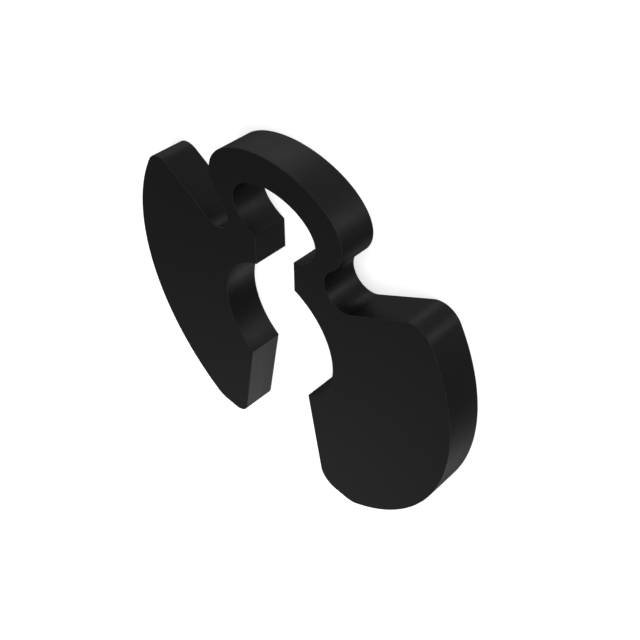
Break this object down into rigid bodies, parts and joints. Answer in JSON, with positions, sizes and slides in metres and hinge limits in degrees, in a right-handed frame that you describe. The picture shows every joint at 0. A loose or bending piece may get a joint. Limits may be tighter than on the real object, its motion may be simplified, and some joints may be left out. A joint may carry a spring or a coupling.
{
  "type": "side-mount external retaining ring",
  "caption": "Flat black spring-steel retaining ring that is pushed sideways into a shaft groove, with round lobes, a flared mouth, gripping prongs and a spring bow.",
  "frame": {"origin": "shaft axis at the ring's lower face", "axes": "+Z along the shaft, out of the upper face; +Y towards the spring bow, with the mouth towards -Y; +X across the lobes"},
  "size_m": [0.0114, 0.0103, 0.001],
  "materials": {
    "black_steel": "black phosphate, satin"
  },
  "bodies": {
    "root": {"retaining_ring": "black_steel"}
  },
  "joints": []
}
